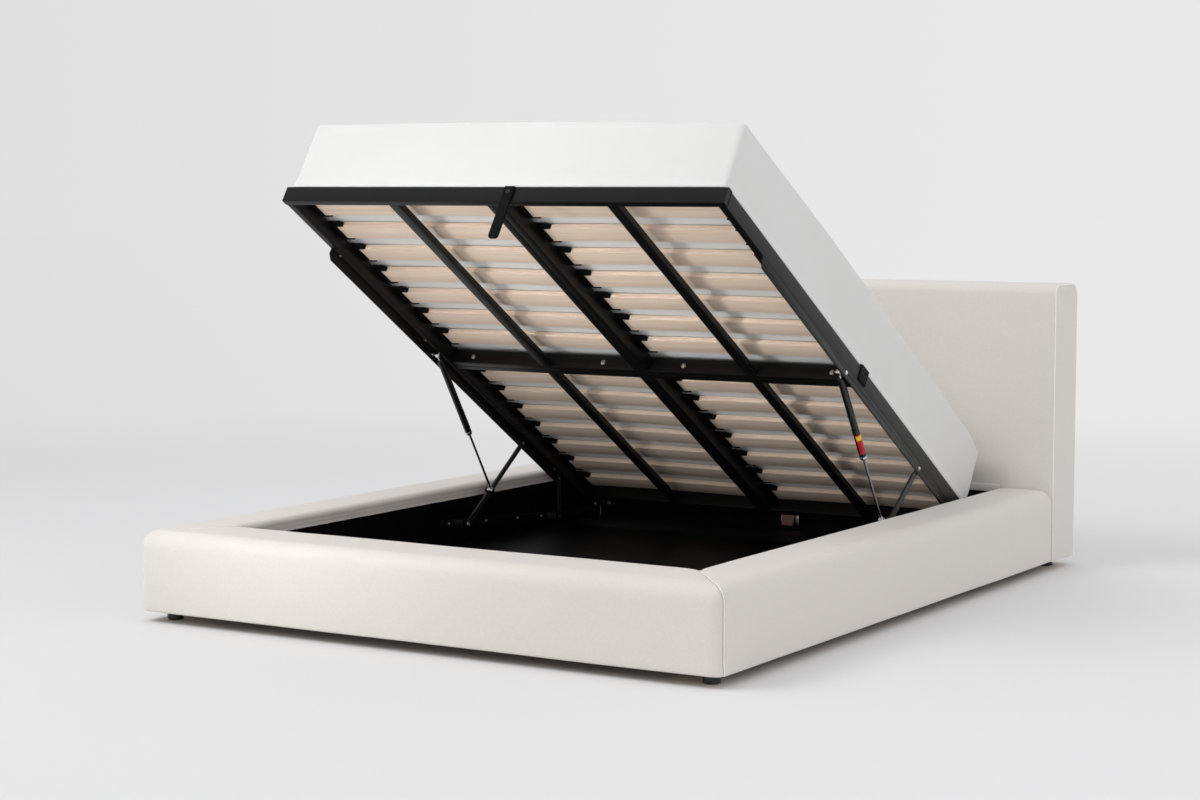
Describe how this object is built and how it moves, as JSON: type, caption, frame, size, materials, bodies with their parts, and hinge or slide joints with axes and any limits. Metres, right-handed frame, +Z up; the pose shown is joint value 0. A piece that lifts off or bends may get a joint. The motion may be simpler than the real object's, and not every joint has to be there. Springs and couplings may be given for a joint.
{
  "type": "ottoman storage bed",
  "caption": "Upholstered bed with a slatted platform that lifts on sprung links to open the storage space in its base.",
  "frame": {"origin": "on the floor, under the middle of the bed's footprint", "axes": "+Y from the foot to the headboard, +Z up, +X to the right as seen from the foot"},
  "size_m": [1.965, 2.515, 1.481],
  "materials": {
    "upholstery": "matte",
    "inner_timber": "matte",
    "birch_slat": "satin",
    "black_cloth": "matte",
    "black_steel": "satin",
    "zinc": "satin",
    "chrome": "polished",
    "black_plastic": "matte",
    "mattress_cloth": "matte",
    "webbing": "matte",
    "label_print": "gloss"
  },
  "bodies": {
    "base": {"foot_rail_cover": "upholstery", "side_rail_cover_left": "upholstery", "side_rail_cover_right": "upholstery", "foot_rail_box": "inner_timber", "side_rail_box_left": "inner_timber", "side_rail_box_right": "inner_timber", "headboard_cover": "upholstery", "headboard_frame": "inner_timber", "headboard_panels": "inner_timber", "storage_lining": "black_cloth", "floor_ledges": "inner_timber", "floor_battens": "inner_timber", "floor_panel_foot": "inner_timber", "floor_panel_head": "inner_timber", "feet": "black_plastic", "centre_legs": "black_plastic", "corner_angles": "black_steel", "corner_bolts": "zinc", "rest_block": "inner_timber", "rest_block_clips": "zinc", "base_bracket_left": "black_steel", "base_bracket_right": "black_steel", "base_bracket_screws": "zinc", "lower_pivots": "zinc"},
    "platform": {"top_rail_left": "black_steel", "top_rail_right": "black_steel", "top_rail_bolts": "zinc", "upper_pivots": "zinc", "upper_ball_studs": "chrome", "foot_bar": "black_steel", "head_bar": "black_steel", "side_bars_front": "black_steel", "side_bars_rear": "black_steel", "mid_bar_front": "black_steel", "mid_bar_rear": "black_steel", "centre_beams": "black_steel", "quarter_bars": "black_steel", "mid_bolts": "zinc", "joint_sleeves": "black_plastic", "slats_front": "birch_slat", "slats_rear": "birch_slat", "slat_holders": "black_plastic", "mattress": "mattress_cloth", "strap_screw": "zinc"},
    "pull_strap": {"pull_strap": "webbing"},
    "front_link_left": {"front_link_left": "black_steel"},
    "rear_link_left": {"rear_link_left": "black_steel"},
    "spring_cylinder_left": {"gas_cylinder_left": "black_steel", "cylinder_collar_left": "chrome", "cylinder_label_left": "label_print"},
    "spring_rod_left": {"gas_rod_left": "chrome", "lower_ball_stud_left": "chrome"},
    "front_link_right": {"front_link_right": "black_steel"},
    "rear_link_right": {"rear_link_right": "black_steel"},
    "spring_cylinder_right": {"gas_cylinder_right": "black_steel", "cylinder_collar_right": "chrome", "cylinder_label_right": "label_print"},
    "spring_rod_right": {"gas_rod_right": "chrome", "lower_ball_stud_right": "chrome"}
  },
  "joints": [
    {"name": "front_link_swing_left", "type": "hinge", "parent": "base", "child": "front_link_left", "pos_m": [-0.75195, 0.12649, 0.14415], "axis": [-1, 0, 0], "range_deg": [0, 30.46]},
    {"name": "platform_tilt", "type": "hinge", "parent": "front_link_left", "child": "platform", "pos_m": [-0.75195, 0.46884, 0.39056], "axis": [1, 0, 0], "range_deg": [0, 62.97]},
    {"name": "front_link_swing_right", "type": "hinge", "parent": "base", "child": "front_link_right", "pos_m": [0.75195, 0.12649, 0.14415], "axis": [-1, 0, 0], "range_deg": [0, 30.47]},
    {"name": "rear_link_swing_left", "type": "hinge", "parent": "platform", "child": "rear_link_left", "pos_m": [-0.75195, 0.7033, 0.24119], "axis": [-1, 0, 0], "range_deg": [0, 91.14]},
    {"name": "rear_link_swing_right", "type": "hinge", "parent": "platform", "child": "rear_link_right", "pos_m": [0.75195, 0.7033, 0.24119], "axis": [-1, 0, 0], "range_deg": [0, 91.14]},
    {"name": "spring_swing_left", "type": "hinge", "parent": "platform", "child": "spring_cylinder_left", "pos_m": [-0.732, -0.06837, 0.73101], "axis": [1, 0, 0], "range_deg": [0, 23.77]},
    {"name": "spring_swing_right", "type": "hinge", "parent": "platform", "child": "spring_cylinder_right", "pos_m": [0.732, -0.06837, 0.73101], "axis": [1, 0, 0], "range_deg": [0, 23.77]},
    {"name": "spring_stroke_left", "type": "slide", "parent": "spring_cylinder_left", "child": "spring_rod_left", "axis": [0, -0.5414, 0.8408], "range_m": [0, 0.2056], "stiffness_N_per_m": 2400, "springref_m": -0.45},
    {"name": "spring_stroke_right", "type": "slide", "parent": "spring_cylinder_right", "child": "spring_rod_right", "axis": [0, -0.5414, 0.8408], "range_m": [0, 0.2056], "stiffness_N_per_m": 2400, "springref_m": -0.45},
    {"name": "strap_swing", "type": "hinge", "parent": "platform", "child": "pull_strap", "pos_m": [0.052, -0.82463, 1.26735], "axis": [0, 0.8434, -0.5373], "range_deg": [-45, 45]}
  ],
  "couplings": [
    {"joint": "platform_tilt", "follows": "front_link_swing_left", "ratio": 2.067},
    {"joint": "front_link_swing_right", "follows": "front_link_swing_left", "ratio": 1},
    {"joint": "rear_link_swing_left", "follows": "front_link_swing_left", "ratio": 2.9917},
    {"joint": "rear_link_swing_right", "follows": "front_link_swing_left", "ratio": 2.9917},
    {"joint": "spring_swing_left", "follows": "front_link_swing_left", "ratio": 0.78019},
    {"joint": "spring_swing_right", "follows": "front_link_swing_left", "ratio": 0.78019},
    {"joint": "spring_stroke_left", "follows": "front_link_swing_left", "m_per_rad": 0.38578},
    {"joint": "spring_stroke_right", "follows": "front_link_swing_left", "m_per_rad": 0.38578}
  ]
}
